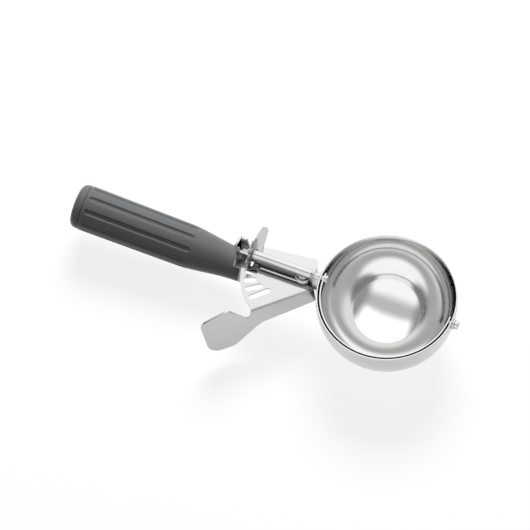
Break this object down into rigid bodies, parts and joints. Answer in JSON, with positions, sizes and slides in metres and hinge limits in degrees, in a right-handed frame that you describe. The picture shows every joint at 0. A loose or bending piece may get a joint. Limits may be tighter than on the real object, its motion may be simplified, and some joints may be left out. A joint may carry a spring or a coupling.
{
  "type": "lever ice cream scoop",
  "caption": "Lever ice cream scoop: a fluted grip, a stamped frame with a slotted thumb lever and star pinion, and a round bowl with a turning scraper strip.",
  "frame": {"origin": "centre of the bowl's sphere, on the axis that the scraper turns about, 4 mm below the rim's plane", "axes": "+X from the handle to the bowl along the scraper shaft, +Z out of the bowl's mouth, the thumb paddle is on the -Y side"},
  "size_m": [0.2161, 0.0859, 0.0463],
  "materials": {
    "grip_plastic": "moulded dark grey, satin",
    "bowl_steel": "spun and polished stainless",
    "lever_steel": "tumbled stainless sheet",
    "frame_steel": "tumbled stainless sheet",
    "sleeve_steel": "bright drawn tube",
    "plain_steel": "turned stainless",
    "pin_steel": "turned stainless, polished head",
    "spring_steel": "bright spring wire"
  },
  "bodies": {
    "frame_and_bowl": {"handle": "grip_plastic", "end_cap": "grip_plastic", "tang": "plain_steel", "bolster": "frame_steel", "back_plate": "frame_steel", "frame": "frame_steel", "bowl_saddle": "frame_steel", "bowl": "bowl_steel", "far_pin": "pin_steel", "far_collar": "pin_steel", "pivot_rivet": "pin_steel", "pivot_bush": "plain_steel", "pivot_washer": "pin_steel", "return_spring": "spring_steel"},
    "thumb_lever": {"lever": "lever_steel"},
    "scraper": {"shaft": "plain_steel", "shaft_sleeve": "sleeve_steel", "star_pinion": "plain_steel", "scraper_blade": "bowl_steel", "blade_rivet": "pin_steel"}
  },
  "joints": [
    {"name": "lever_pivot", "type": "hinge", "parent": "frame_and_bowl", "child": "thumb_lever", "pos_m": [-0.0468, 0, -0.00649], "axis": [0, 0, -1], "range_deg": [0, 38], "stiffness_Nm_per_rad": 0.12, "springref_deg": -28.65},
    {"name": "scraper_turn", "type": "hinge", "parent": "frame_and_bowl", "child": "scraper", "pos_m": [0, 0, 0], "axis": [1, 0, 0], "range_deg": [0, 171]}
  ],
  "couplings": [
    {"joint": "scraper_turn", "follows": "lever_pivot", "ratio": 4.5}
  ]
}
